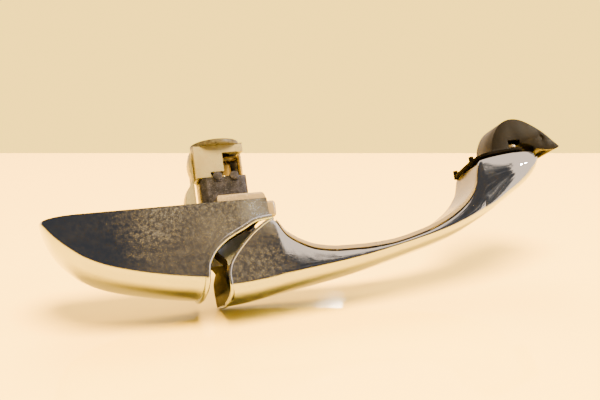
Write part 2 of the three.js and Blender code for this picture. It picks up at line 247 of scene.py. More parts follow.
class Shader(Tree):
    """One material's node tree."""

    def __init__(self, name: str) -> None:
        """Starts a material with an empty Principled shader.

        Args:
            name: the material's name.
        """
        self.material = bpy.data.materials.new(name)
        self.material.use_nodes = True
        super().__init__(self.material.node_tree)
        self.bsdf = self.tree.nodes["Principled BSDF"]
        self.coords = self.tree.nodes.new("ShaderNodeTexCoord").outputs["Object"]

    def noise(
        self,
        scale: float,
        detail: float = 3.0,
        stretch: Sequence[float] = (1.0, 1.0, 1.0),
        rough: float = 0.55,
    ) -> Sock:
        """Noise on object coordinates.

        Args:
            scale: how fine, per metre.
            detail: octaves.
            stretch: scale along each axis of the handle.
            rough: weight of the fine octaves.

        Returns:
            The noise value, about 0.5 on average.
        """
        place = self.node(
            "ShaderNodeMapping",
            None,
            {"Vector": self.coords, "Rotation": (-LEAN, 0.0, 0.0), "Scale": tuple(stretch)},
        )
        return self.node(
            "ShaderNodeTexNoise",
            None,
            {"Vector": place, "Scale": scale, "Detail": detail, "Roughness": rough},
        )

    def along(self, direction: Sequence[float]) -> Sock:
        """How far a point lies along a direction, in metres."""
        return self.node(
            "ShaderNodeVectorMath",
            {"operation": "DOT_PRODUCT"},
            {0: self.coords, 1: tuple(direction)},
            "Value",
        )

    def blend(self, amount: object, low: Sequence[float], high: Sequence[float]) -> Sock:
        """Mixes two colours.

        Args:
            amount: 0 for the first colour, 1 for the second.
            low: first colour or socket.
            high: second colour or socket.

        Returns:
            The mixed colour.
        """
        first = low if isinstance(low, Sock) else (*low, 1.0)
        second = high if isinstance(high, Sock) else (*high, 1.0)
        return self.node(
            "ShaderNodeMix",
            {"data_type": "RGBA"},
            {0: amount, 6: first, 7: second},
            2,
        )

    def bump(self, height: Sock, strength: float, distance: float) -> None:
        """Raises the surface by a height pattern.

        Args:
            height: the pattern.
            strength: bump strength.
            distance: height in metres.
        """
        normal = self.node(
            "ShaderNodeBump", None, {"Height": height, "Strength": strength, "Distance": distance}
        )
        self.feed("Normal", normal)

    def feed(self, name: str, value: object) -> None:
        """Sets or links one of the Principled shader's inputs.

        Args:
            name: the input.
            value: a number, a colour or a Sock.
        """
        target = self.bsdf.inputs[name]
        if isinstance(value, Sock):
            self.tree.links.new(value.socket, target)
        else:
            target.default_value = (*value, 1.0) if isinstance(value, tuple) else value


# --------------------------------------------------------------------------- finishes


@dataclass(frozen=True)
class Chrome:
    """Mirror chrome with dust, faint wipe marks and hairline scratches, a painted sheen and painted
    highlights near the seam, and painted shade on the faces that look down.
    """

    name: str = "handled_chrome"
    color: Color = (0.42, 0.47, 0.60)
    # painted shade: chrome on faces that look down at the table is tinted darker, to dim the
    # table's reflection
    painted_shade_color: Color = (0.20, 0.26, 0.66)
    # colour of the dust film; the same colour carries the painted sheen and highlights
    dust_and_sheen_color: Color = (0.15, 0.31, 1.0)
    # where the dust thickens and a painted sheen gathers, along the handle
    dust_and_sheen_at: float = 0.028
    # painted highlights: bright spots on the chrome, each a place, a reach and a brightness
    painted_highlights: Tuple[Tuple[Place, float, float], ...] = (
        ((0.0510, -0.0164, 0.0040), 0.011, 0.42),
        ((0.0585, -0.0190, -0.0010), 0.009, 0.22),
        ((0.0340, -0.0190, -0.0050), 0.018, 0.13),
    )

    def build(self) -> bpy.types.Material:
        """Makes the material.

        Returns:
            The material.
        """
        s = Shader(self.name)
        cloud = s.noise(34.0, 3.0, (0.6, 1.0, 1.0)).above(0.34, 0.70)
        grit = s.noise(1700.0, 3.0, rough=0.7).above(0.50, 0.70)
        mottle = s.noise(640.0, 4.0, rough=0.8).above(0.42, 0.68)
        wipes = s.noise(170.0, 3.0, (0.07, 1.0, 1.0)).above(0.56, 0.74)
        # dust film, brightened near the seam by a painted sheen
        away = s.along((1.0, 0.0, 0.0)) - self.dust_and_sheen_at
        near_seam = 1 - (away * away).above(0.0001, 0.0019)
        dust_and_sheen = (grit * 0.34 + mottle * 0.40 + wipes * 0.16) * (cloud * 0.66 + 0.28)
        dust_and_sheen = (dust_and_sheen + near_seam * 0.05) * (near_seam * 0.92 + 0.12)
        dust_and_sheen = dust_and_sheen * (self.side_mask(s, 0.35, 0.75) * 0.92 + 0.08)
        # painted highlights at the listed spots
        for spot, reach, bright in self.painted_highlights:
            near = s.node(
                "ShaderNodeVectorMath", {"operation": "DISTANCE"}, {0: s.coords, 1: spot}, "Value"
            )
            dust_and_sheen = dust_and_sheen + (1 - near.above(0.0, reach)) * (grit * 0.3 + 0.8) * bright
        # painted shade on the faces that look down
        painted_shade = 1 - self.side_mask(s, 0.62, 0.95)
        metal = s.blend(painted_shade, self.color, self.painted_shade_color)
        s.feed("Base Color", s.blend(dust_and_sheen, metal, self.dust_and_sheen_color))
        s.feed("Metallic", 1 - dust_and_sheen * 0.38)
        s.feed("Roughness", dust_and_sheen * 0.40 + 0.03)
        hair = s.noise(700.0, 2.0, (0.04, 1.0, 1.0)).above(0.6, 0.68)
        s.bump(hair * 0.6 + grit * 0.4, 0.04, 0.0002)
        return s.material

    def side_mask(self, s: Shader, low: float, high: float) -> Sock:
        """Tells the side faces from those that look down at the table.

        Args:
            s: the shader.
            low: how far a face may look down before the mask fades.
            high: where the mask has gone.

        Returns:
            1 on the side faces, 0 on those that look down.
        """
        down = s.node("ShaderNodeAttribute", {"attribute_name": LOOKS_DOWN}, None, "Fac")
        return 1 - down.above(low, high)


@dataclass(frozen=True)
class Satin:
    """Bright satin moulding of the finger side."""

    name: str = "satin_liner"
    color: Color = (0.27, 0.27, 0.30)

    def build(self) -> bpy.types.Material:
        """Makes the material.

        Returns:
            The material.
        """
        s = Shader(self.name)
        cloud = s.noise(60.0, 3.0)
        s.feed("Base Color", s.blend(cloud.above(0.4, 0.8), self.color, (0.20, 0.21, 0.27)))
        s.feed("Metallic", 0.5)
        s.feed("Roughness", cloud * 0.2 + 0.16)
        return s.material


@dataclass(frozen=True)
class Zinc:
    """Pale die-cast zinc with polished ground faces and a painted shade band under the lock head.
    """

    name: str = "pale_zinc"
    color: Color = (0.185, 0.215, 0.24)

    def build(self) -> bpy.types.Material:
        """Makes the material.

        Returns:
            The material.
        """
        s = Shader(self.name)
        cloud = s.noise(160.0, 4.0).above(0.35, 0.75)
        streak = s.noise(300.0, 2.0, (1.0, 1.0, 0.12)).above(0.4, 0.7)
        pits = s.noise(1500.0, 2.0).above(0.62, 0.72)
        shade = s.blend(cloud * 0.6 + streak * 0.3, self.color, (0.18, 0.18, 0.16))
        shade = s.blend(pits * 0.6, shade, (0.20, 0.16, 0.11))
        # painted shade: a dark speckled band under the lock head's overhang, at this height along
        # the door normal
        height = s.along(DOOR_NORMAL)
        painted_shade_band = height.above(0.0276, 0.0281) - height.above(0.0299, 0.0302)
        mottle = s.noise(700.0, 4.0, rough=0.7).above(0.4, 0.65)
        s.feed("Base Color", s.blend(painted_shade_band * (mottle * 0.25 + 0.75), shade, (0.02, 0.022, 0.03)))
        s.feed("Metallic", 0.1)
        s.feed("Roughness", cloud * 0.16 + 0.26)
        s.bump(pits + cloud * 0.3, 0.12, 0.0002)
        return s.material


@dataclass(frozen=True)
class Plated:
    """Mottled violet-grey passivated casting."""

    name: str = "passivated_casting"
    color: Color = (0.022, 0.028, 0.060)

    def build(self) -> bpy.types.Material:
        """Makes the material.

        Returns:
            The material.
        """
        s = Shader(self.name)
        cloud = s.noise(420.0, 4.0, rough=0.7).above(0.38, 0.68)
        grain = s.noise(1700.0, 2.0).above(0.56, 0.72)
        shade = s.blend(cloud, self.color, (0.050, 0.060, 0.13))
        s.feed("Base Color", s.blend(grain * 0.7, shade, (0.13, 0.145, 0.24)))
        s.feed("Metallic", 0.55)
        s.feed("Roughness", cloud * 0.2 + 0.34)
        s.bump(grain + cloud * 0.5, 0.25, 0.0003)
        return s.material


@dataclass(frozen=True)
class Brass:
    """Machined brass, a little tarnished."""

    name: str = "lock_brass"
    color: Color = (0.30, 0.24, 0.08)

    def build(self) -> bpy.types.Material:
        """Makes the material.

        Returns:
            The material.
        """
        s = Shader(self.name)
        cloud = s.noise(300.0, 4.0).above(0.4, 0.75)
        s.feed("Base Color", s.blend(cloud, self.color, (0.05, 0.045, 0.02)))
        s.feed("Metallic", 0.75)
        s.feed("Roughness", cloud * 0.2 + 0.22)
        return s.material


@dataclass(frozen=True)
class Steel:
    """Bright plated steel of screws, clip and spring."""

    name: str = "plated_steel"
    color: Color = (0.62, 0.62, 0.62)

    def build(self) -> bpy.types.Material:
        """Makes the material.

        Returns:
            The material.
        """
        s = Shader(self.name)
        cloud = s.noise(700.0, 3.0)
        s.feed("Base Color", s.blend(cloud.above(0.45, 0.75), self.color, (0.48, 0.44, 0.38)))
        s.feed("Metallic", 0.9)
        s.feed("Roughness", cloud * 0.2 + 0.18)
        return s.material


@dataclass(frozen=True)
class Nylon:
    """Satin black-brown moulded nylon of the hook."""

    name: str = "hook_nylon"
    color: Color = (0.0034, 0.0038, 0.0058)
    worn: Color = (0.0070, 0.0074, 0.010)

    def build(self) -> bpy.types.Material:
        """Makes the material.

        Returns:
            The material.
        """
        s = Shader(self.name)
        cloud = s.noise(120.0, 4.0).above(0.4, 0.75)
        dust = s.noise(2200.0, 2.0).above(0.66, 0.76)
        shade = s.blend(cloud * 0.5, self.color, self.worn)
        s.feed("Base Color", s.blend(dust * 0.4, shade, (0.03, 0.032, 0.042)))
        s.feed("Specular IOR Level", 0.22)
        s.feed("Roughness", cloud * 0.14 + 0.40)
        s.bump(s.noise(1800.0, 2.0), 0.08, 0.0002)
        return s.material


@dataclass(frozen=True)
class Rubber:
    """Soft black door pad."""

    name: str = "pad_rubber"
    color: Color = (0.0010, 0.0011, 0.0017)

    def build(self) -> bpy.types.Material:
        """Makes the material.

        Returns:
            The material.
        """
        s = Shader(self.name)
        cloud = s.noise(500.0, 3.0)
        s.feed("Base Color", s.blend(cloud.above(0.45, 0.8), self.color, (0.0018, 0.0019, 0.003)))
        s.feed("Specular IOR Level", 0.12)
        s.feed("Roughness", cloud * 0.2 + 0.6)
        s.bump(cloud, 0.1, 0.0002)
        return s.material


@dataclass(frozen=True)
class TableTop:
    """Glossy cream table."""

    name: str = "cream_table"
    color: Color = (0.94, 0.80, 0.17)

    def build(self) -> bpy.types.Material:
        """Makes the material.

        Returns:
            The material.
        """
        s = Shader(self.name)
        s.feed("Base Color", self.color)
        s.feed("Roughness", 0.06)
        s.feed("Specular IOR Level", 0.32)
        return s.material


class Finishes:
    """The handle's materials, made once each."""

    def __init__(self) -> None:
        """Builds every material."""
        self.chrome = Chrome().build()
        self.liner = Satin().build()
        self.core = Nylon("grip_core", (0.020, 0.028, 0.060), (0.012, 0.016, 0.034)).build()
        self.tongue = Nylon("grip_tongue_moulding", (0.50, 0.60, 0.86), (0.34, 0.42, 0.62)).build()
        self.zinc = Zinc().build()
        self.plated = Plated().build()
        self.brass = Brass().build()
        self.steel = Steel().build()
        self.plastic = Nylon().build()
        self.rubber = Rubber().build()


# --------------------------------------------------------------------------- forms


class Ease:
    """A smooth curve through a few (x, value) points."""

    def __init__(self, *points: Point) -> None:
        """Stores the points and works out the slope at each.

        Args:
            points: (x, value) pairs in rising x.
        """
        self.x = np.array([p[0] for p in points], float)
        self.v = np.array([p[1] for p in points], float)
        steps = np.diff(self.v) / np.diff(self.x)
        inner = [
            0.0 if a * b <= 0 else 2 * a * b / (a + b) for a, b in zip(steps[:-1], steps[1:])
        ]
        self.slope = np.array([steps[0], *inner, steps[-1]])

    def __call__(self, x: float) -> float:
        """The curve's value at x."""
        x = min(max(x, self.x[0]), self.x[-1])
        i = min(max(int(np.searchsorted(self.x, x)) - 1, 0), len(self.x) - 2)
        h = self.x[i + 1] - self.x[i]
        t = (x - self.x[i]) / h
        ends = self.v[i] * (1 + 2 * t) * (1 - t) ** 2 + self.v[i + 1] * t * t * (3 - 2 * t)
        bend = self.slope[i] * t * (1 - t) ** 2 - self.slope[i + 1] * t * t * (1 - t)
        return float(ends + h * bend)


@dataclass
class Section:
    """Cross-section of the handle at one station, in mm across and along the door normal."""

    half: float
    top: float
    crease: float
    crown: float
    slant: float
    rim_in: float = 1.6
    soft: float = 1.4
    bulge: float = 0.0

    def outline(self, closed: bool) -> np.ndarray:
        """Dense outline from the near rim round the outer face to the far rim.

        Args:
            closed: True to come back along the door side as well.

        Returns:
            Rows of (y, z), evenly spaced and softened at the corners.
        """
        rim = max(self.half - self.rim_in, self.half * 0.6)
        far = self.crease - self.slant
        t = np.linspace(0, 1, 40)
        arc_y = -self.half * np.cos(np.pi * (0.06 + 0.88 * t)) / math.cos(np.pi * 0.06)
        arc_z = self.crease + (far - self.crease) * t - self.crown * np.sin(np.pi * t) ** 0.8
        near = np.linspace((-rim, self.top), (-self.half, self.crease), 16)
        away = np.linspace((self.half, far), (rim, self.top), 16)
        swell = self.bulge * np.sin(np.linspace(0, np.pi, 16))
        near[:, 0] -= swell
        away[:, 0] += swell
        near, away = near[:-1], away[1:]
        line = np.vstack([near, np.c_[arc_y, arc_z], away])
        if closed:
            line = np.vstack([line, np.linspace((rim, self.top), (-rim, self.top), 16)[1:]])
        return self._soften(line, closed)

    def _soften(self, line: np.ndarray, closed: bool) -> np.ndarray:
        """Evens out the spacing and rounds the corners by a moving average.

        Args:
            line: the sharp outline.
            closed: whether its ends meet.

        Returns:
            The rounded outline, in ROUND_STEPS steps.
        """
        step = np.hypot(*np.diff(line, axis=0).T)
        s = np.r_[0, np.cumsum(step)]
        n = ROUND_STEPS
        at = np.linspace(0, s[-1], n + 1)
        even = np.c_[np.interp(at, s, line[:, 0]), np.interp(at, s, line[:, 1])]
        reach = max(1, int(round(self.soft / max(s[-1], 1e-6) * n)))
        reach = min(reach, n // 8)
        kernel = np.ones(2 * reach + 1) / (2 * reach + 1)
        if closed:
            body = even[:-1]
            wrapped = np.vstack([body[-reach:], body, body[:reach]])
            out = np.c_[
                np.convolve(wrapped[:, 0], kernel, "valid"),
                np.convolve(wrapped[:, 1], kernel, "valid"),
            ]
            return np.vstack([out, out[:1]])
        pad_a = 2 * even[:1] - even[reach:0:-1]
        pad_b = 2 * even[-1:] - even[-2 : -2 - reach : -1]
        wrapped = np.vstack([pad_a, even, pad_b])
        return np.c_[
            np.convolve(wrapped[:, 0], kernel, "valid"),
            np.convolve(wrapped[:, 1], kernel, "valid"),
        ]


@dataclass
class Skin:
    """A surface swept through sections along the handle, trimmed at one or both ends."""

    section: Callable[[float], Section]
    start: float
    stop: float
    closed: bool = False
    trim_start: Optional[Callable[[float], float]] = None
    trim_stop: Optional[Callable[[float], float]] = None
    ease_start: bool = False
    ease_stop: bool = False
    table: np.ndarray = field(init=False)
    xs: np.ndarray = field(init=False)
    known: Dict[int, Point] = field(init=False, default_factory=dict)

    def __post_init__(self) -> None:
        """Works out the dense sections once."""
        t = self._crowded(np.linspace(0, 1, STATIONS), 1.9)
        self.xs = self.start + (self.stop - self.start) * t
        self.table = np.array([self.section(x).outline(self.closed) for x in self.xs])

    def _crowded(self, t: Union[float, np.ndarray], power: float) -> Union[float, np.ndarray]:
        """Moves even steps closer together towards an eased end.

        Args:
            t: steps from 0 to 1.
            power: how strongly.

        Returns:
            The moved steps.
        """
        if self.ease_start and self.ease_stop:
            return 0.5 - 0.5 * np.cos(np.pi * t)
        if self.ease_start:
            return t**power
        if self.ease_stop:
            return 1 - (1 - t) ** power
        return t

    def _crossing(
        self, trim: Optional[Callable[[float], float]], heights: np.ndarray, end: float
    ) -> float:
        """Where one line along the skin crosses a trimming curve.

        Args:
            trim: the curve, as x at a height.
            heights: the line's height at each station.
            end: what to give back where nothing is trimmed.

        Returns:
            The x of the crossing.
        """
        if trim is None:
            return end
        past = self.xs - np.array([trim(z) for z in heights])
        beyond = np.nonzero(past > 0)[0]
        if not len(beyond) or beyond[0] == 0:
            return end
        i = beyond[0]
        share = past[i] / (past[i] - past[i - 1])
        return float(self.xs[i] - share * (self.xs[i] - self.xs[i - 1]))

    def limits(self, column: int) -> Point:
        """Where the sheet starts and stops along one line round the section.

        Args:
            column: index round the section.

        Returns:
            First and last x.
        """
        if column not in self.known:
            z = self.table[:, column, 1]
            self.known[column] = (
                self._crossing(self.trim_start, z, self.start),
                self._crossing(self.trim_stop, z, self.stop),
            )
        return self.known[column]

    def point(self, u: float, v: float) -> Place:
        """A point of the trimmed sheet.

        Args:
            u: 0 at the start, 1 at the stop.
            v: 0 at the near rim, 1 where the outline ends.

        Returns:
            Its place in handle axes, in mm.
        """
        column = int(round(v * ROUND_STEPS))
        low, high = self.limits(column)
        x = low + (high - low) * self._crowded(u, 1.7)
        y = float(np.interp(x, self.xs, self.table[:, column, 0]))
        z = float(np.interp(x, self.xs, self.table[:, column, 1]))
        return x, y, z

    def edge(self, u: float) -> List[Place]:
        """The sheet's edge at u, as a dense row of points."""
        return [self.point(u, k / ROUND_STEPS) for k in range(ROUND_STEPS + 1)]

    def mesh(self, along: int, around: int = FACES_ROUND) -> bmesh.types.BMesh:
        """Lays a grid over the sheet.

        Args:
            along: steps along the handle.
            around: steps round the section; must divide ROUND_STEPS.

        Returns:
            The sheet, with its faces pointing out of the handle.
        """
        bm = bmesh.new()
        bmesh.ops.create_grid(bm, x_segments=along, y_segments=around, size=1.0)
        for vert in bm.verts:
            vert.co = self.point((vert.co.x + 1) / 2, (vert.co.y + 1) / 2)
        bmesh.ops.remove_doubles(bm, verts=bm.verts, dist=0.004)
        bmesh.ops.dissolve_degenerate(bm, edges=bm.edges, dist=0.002)
        return bm


def walled(sheet: Skin, along: int, wall: float) -> bmesh.types.BMesh:
    """A skin with its wall thickness inside it.

    Args:
        sheet: the outer skin.
        along: faces along the handle.
        wall: in mm.

    Returns:
        The shell.
    """
    bm = sheet.mesh(along)
    bmesh.ops.recalc_face_normals(bm, faces=bm.faces)
    if sum(f.normal.y * f.calc_center_median().y for f in bm.faces) < 0:
        bmesh.ops.reverse_faces(bm, faces=bm.faces)
    bmesh.ops.solidify(bm, geom=bm.faces[:], thickness=wall)
    return bm


def tube(path: Sequence[Place], radius: float) -> bmesh.types.BMesh:
    """A round bead along a path, closed at its ends.

    Args:
        path: points in handle axes.
        radius: in mm.

    Returns:
        The bead.
    """
    points = [Vector(p) for p in path]
    last = len(points) - 1
    bm = bmesh.new()
    bmesh.ops.create_grid(bm, x_segments=last, y_segments=14, size=1.0)
    for vert in bm.verts:
        k = round((vert.co.x + 1) / 2 * last)
        along = (points[min(k + 1, last)] - points[max(k - 1, 0)]).normalized()
        side = along.cross(Vector((1.0, 0.2, 0.1))).normalized()
        turn = math.pi * (vert.co.y + 1)
        vert.co = points[k] + radius * (
            math.cos(turn) * side + math.sin(turn) * along.cross(side)
        )
    bmesh.ops.remove_doubles(bm, verts=bm.verts, dist=0.002)
    bmesh.ops.holes_fill(bm, edges=[e for e in bm.edges if e.is_boundary])
    return bm


def sharp_edges(bm: bmesh.types.BMesh, angle: float) -> List[bmesh.types.BMEdge]:
    """Edges where the surface turns by more than an angle.

    Args:
        bm: the mesh.
        angle: in degrees.

    Returns:
        Those edges.
    """
    limit = math.radians(angle)
    return [e for e in bm.edges if len(e.link_faces) == 2 and e.calc_face_angle(0.0) > limit]


def finish_piece(
    bm: bmesh.types.BMesh,
    name: str,
    body: Body,
    material: bpy.types.Material,
    nodes: Sequence[str] = (),
    in_handle_axes: bool = True,
    smooth: float = 40.0,
    recalc: bool = True,
) -> bpy.types.Object:
    """Turns a bmesh into a piece of the scene.

    Args:
        bm: the mesh; it is freed.
        name: the piece's name.
        body: the body it rides on.
        material: its finish.
        nodes: CAD nodes it stands for.
        in_handle_axes: True if it is still in mm along the handle.
        smooth: edges sharper than this many degrees stay crisp.
        recalc: whether the normals are worked out afresh.

    Returns:
        The object.
    """
    if in_handle_axes:
        bmesh.ops.transform(bm, matrix=HANDLE_TO_ROW, verts=bm.verts)
    if recalc:
        bmesh.ops.recalc_face_normals(bm, faces=bm.faces)
    for face in bm.faces:
        face.smooth = True
    for edge in bm.edges:
        edge.smooth = not (
            len(edge.link_faces) == 2 and edge.calc_face_angle(0.0) > math.radians(smooth)
        )
    mesh = bpy.data.meshes.new(name)
    bm.to_mesh(mesh)
    bm.free()
    mesh.materials.append(material)
    looks_down = mesh.attributes.new(LOOKS_DOWN, "FLOAT", "POINT")
    looks_down.data.foreach_set("value", [-v.normal.z for v in mesh.vertices])
    obj = bpy.data.objects.new(name, mesh)
    bpy.context.scene.collection.objects.link(obj)
    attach(obj, body.value)
    if nodes:
        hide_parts(*nodes)
    log.info("%s: %d faces", name, len(mesh.polygons))
    return obj


def refined(
    node: str,
    body: Body,
    material: bpy.types.Material,
    bevel: float = 0.25,
    angle: float = 32.0,
    segments: int = 2,
) -> bpy.types.Object:
    """A CAD node again with its sharp edges broken, as a moulded or cast piece has them.

    Args:
        node: the CAD node.
        body: the body it rides on.
        material: its finish.
        bevel: edge break in mm.
        angle: which edges count as sharp, in degrees.
        segments: bevel steps.

    Returns:
        The new piece.
    """
    bm = bmesh.new()
    bm.from_mesh(frame["nodes"][node].data)
    bmesh.ops.remove_doubles(bm, verts=bm.verts, dist=2e-6)
    bmesh.ops.dissolve_limit(
        bm, angle_limit=math.radians(0.8), verts=bm.verts, edges=bm.edges, delimit={"NORMAL"}
    )
    if bevel > 0:
        bmesh.ops.bevel(
            bm,
            geom=sharp_edges(bm, angle),
            offset=bevel * MM,
            offset_type="OFFSET",
            segments=segments,
            profile=0.5,
            affect="EDGES",
            clamp_overlap=True,
            material=-1,
        )
    bmesh.ops.triangulate(bm, faces=[f for f in bm.faces if len(f.verts) > 4])
    return finish_piece(
        bm, f"{node}_look", body, material, [node], False, smooth=50.0, recalc=False
    )


# --------------------------------------------------------------------------- end cap


@dataclass
class EndCap:
    """Chromed end cap: skin, plinth, carrier plate and its screws."""

    finishes: Finishes
    tip: float = -80.9
    ear: float = 19.6
    half: float = 17.0
    wall: float = 1.8
    lip_radius: float = 1.2
    lip_top: float = -8.45
    plinth_foot: Tuple[float, float, float, float] = (-5.0, 17.2, 15.2, -0.8)
    plinth_lid: Tuple[float, float, float, float] = (-4.7, 16.1, 14.9, 3.3)
    plinth_wall: float = 2.5
    lug_middle: Place = (18.7, -12.6, -4.9)
    lug_size: Place = (4.6, 5.6, 7.2)
    web_bottom: float = -37.0
    web_top: float = -9.4
    crease: Ease = Ease(
        (-80.9, -0.5), (-79.6, -2.6), (-78, -5), (-75.7, -7.9), (-71, -12.6), (-64, -18),
        (-54, -22.8), (-40, -27), (-26, -30), (-13, -32), (19.6, -34),
    )
    crown: Ease = Ease((-80.9, 0.3), (-79.5, 2.6), (-76, 5.0), (-66, 6), (-40, 5.4), (19.6, 5.2))
    slant: Ease = Ease((-80.9, 0.2), (-79, 1.6), (-72, 3.6), (-50, 4.4), (19.6, 4.8))
    seam: Ease = Ease(
        (-50, -14.6), (-40, -14.2), (-33, -13.6), (-28, -12.9), (-22.8, -10.2), (-17.4, -4.4),
        (-12.2, 5.6), (-9.6, 11.2), (-8.9, 15.6), (-8.55, 19.4), (-8.2, 17.6), (-7.6, 17.3),
        (2, 17.1),
    )

    def section(self, x: float) -> Section:
        """The cap's cross-section.

        Args:
            x: the station along the handle.

        Returns:
            The section.
        """
        s = min(max((x - self.tip) / 17.0, 1e-4), 1.0)
        half = self.half * (1 - (1 - s) ** 2.6) ** (1 / 2.6)
        return Section(
            half=max(half, 0.05), top=0.0, crease=self.crease(x), crown=self.crown(x),
            slant=self.slant(x), soft=min(1.5, 0.12 * half + 0.05),
        )

    def skin(self) -> bpy.types.Object:
        """The polished outer shell with its wall thickness."""
        sheet = Skin(
            self.section, self.tip, self.ear + 0.1, trim_stop=self.seam, ease_start=True
        )
        bm = walled(sheet, 110, self.wall)
        skin = finish_piece(
            bm, "cap_skin", Body.CAP, self.finishes.chrome, ["cap_shell"], smooth=48
        )
        lip = [p for p in sheet.edge(1.0) if p[2] < self.lip_top]
        finish_piece(
            tube(lip, self.lip_radius), "cap_seam_lip", Body.CAP, self.finishes.chrome
        )
        return skin

    def plinth(self) -> bpy.types.Object:
        """The raised frame that enters the door opening, open in the middle for the tower."""
        bm = bmesh.new()
        bmesh.ops.create_cube(bm, size=1.0)
        for vert in bm.verts:
            left, right, side, z = self.plinth_foot if vert.co.z < 0 else self.plinth_lid
            vert.co = (right if vert.co.x > 0 else left, math.copysign(side, vert.co.y), z)
        lid = [f for f in bm.faces if abs(f.normal.z) > 0.9]
        bmesh.ops.inset_region(bm, faces=lid, thickness=self.plinth_wall, depth=0.0)
        rims = sorted(lid, key=lambda f: f.calc_center_median().z)
        bmesh.ops.bridge_loops(bm, edges=[e for f in rims for e in f.edges])
        bmesh.ops.delete(bm, geom=rims, context="FACES_ONLY")
        edges = [
            e for e in sharp_edges(bm, 30)
            if all(v.co.z > 3.0 and abs(v.co.y) > self.plinth_lid[2] - 0.9 for v in e.verts)
        ]
        bmesh.ops.bevel(
            bm, geom=edges, offset=1.5, segments=3, profile=0.5, affect="EDGES", material=-1
        )
        return finish_piece(
            bm, "cap_plinth", Body.CAP, self.finishes.liner, smooth=24
        )

    def lug(self) -> bpy.types.Object:
        """The rounded locating lug at the ear."""
        bm = bmesh.new()
        bmesh.ops.create_cube(bm, size=1.0)
        bmesh.ops.transform(
            bm,
            matrix=Matrix.Translation(self.lug_middle) @ Matrix.Diagonal((*self.lug_size, 1)),
            verts=bm.verts,
        )
        bmesh.ops.bevel(
            bm, geom=bm.edges[:], offset=1.3, segments=5, profile=0.5, affect="EDGES", material=-1
        )
        return finish_piece(
            bm, "cap_lug", Body.CAP, self.finishes.liner, smooth=30
        )

    def web(self, grip_seam: Ease) -> bpy.types.Object:
        """The black inner web that closes the seam behind the cap's edge.

        Args:
            grip_seam: the grip's edge of the seam.

        Returns:
            The web.
        """
        bm = bmesh.new()
        bmesh.ops.create_grid(bm, x_segments=12, y_segments=40, size=1.0)
        for vert in bm.verts:
            z = self.web_bottom + (self.web_top - self.web_bottom) * (vert.co.y + 1) / 2
            t = min(max((-20.0 - z) / 8.0, 0.0), 1.0)
            t = t * t * (3 - 2 * t)
            near = self.seam(z)
            x = near + 0.4 + (grip_seam(z) - near - 1.8) * t
            half = 14.3 + 0.9 * t
            vert.co = (x, vert.co.x * half, z)
        bmesh.ops.solidify(bm, geom=bm.faces[:], thickness=1.0)
        return finish_piece(
            bm, "cap_inner_web", Body.CAP, self.finishes.rubber, smooth=50
        )

    def build(self) -> None:
        """Makes every piece of the cap."""
        self.skin()
        self.web(PullGrip.seam)
        self.plinth()
        self.lug()
        refined("cap_base", Body.CAP, self.finishes.plated, 0.3)
        for node in ("base_screw_1", "base_screw_2"):
            refined(node, Body.CAP, self.finishes.steel, 0.08)


# --------------------------------------------------------------------------- lock tower


@dataclass
class LockTower:
    """The lock's castings and the brass barrel inside them."""

    finishes: Finishes

    def build(self) -> None:
        """Makes every piece of the tower."""
        f = self.finishes
        refined("lock_socket", Body.CAP, f.plated, 0.35)
        refined("lock_housing", Body.CAP, f.zinc, 0.3)
        refined("lock_guard", Body.CAP, f.brass, 0.15)
        refined("fixing_claw", Body.CAP, f.zinc, 0.8, segments=3)
        refined("plug_spring", Body.CAP, f.steel, 0.0)
        refined("lock_plug", Body.LOCK, f.brass, 0.15)
        refined("lock_cam", Body.LOCK, f.brass, 0.2)
        refined("cam_clip", Body.LOCK, f.steel, 0.08)
        for node, body in (
            ("wafer_1", Body.WAFER_A), ("wafer_2", Body.WAFER_B), ("wafer_3", Body.WAFER_C),
        ):
            refined(node, body, f.brass, 0.08)


# --------------------------------------------------------------------------- pull grip


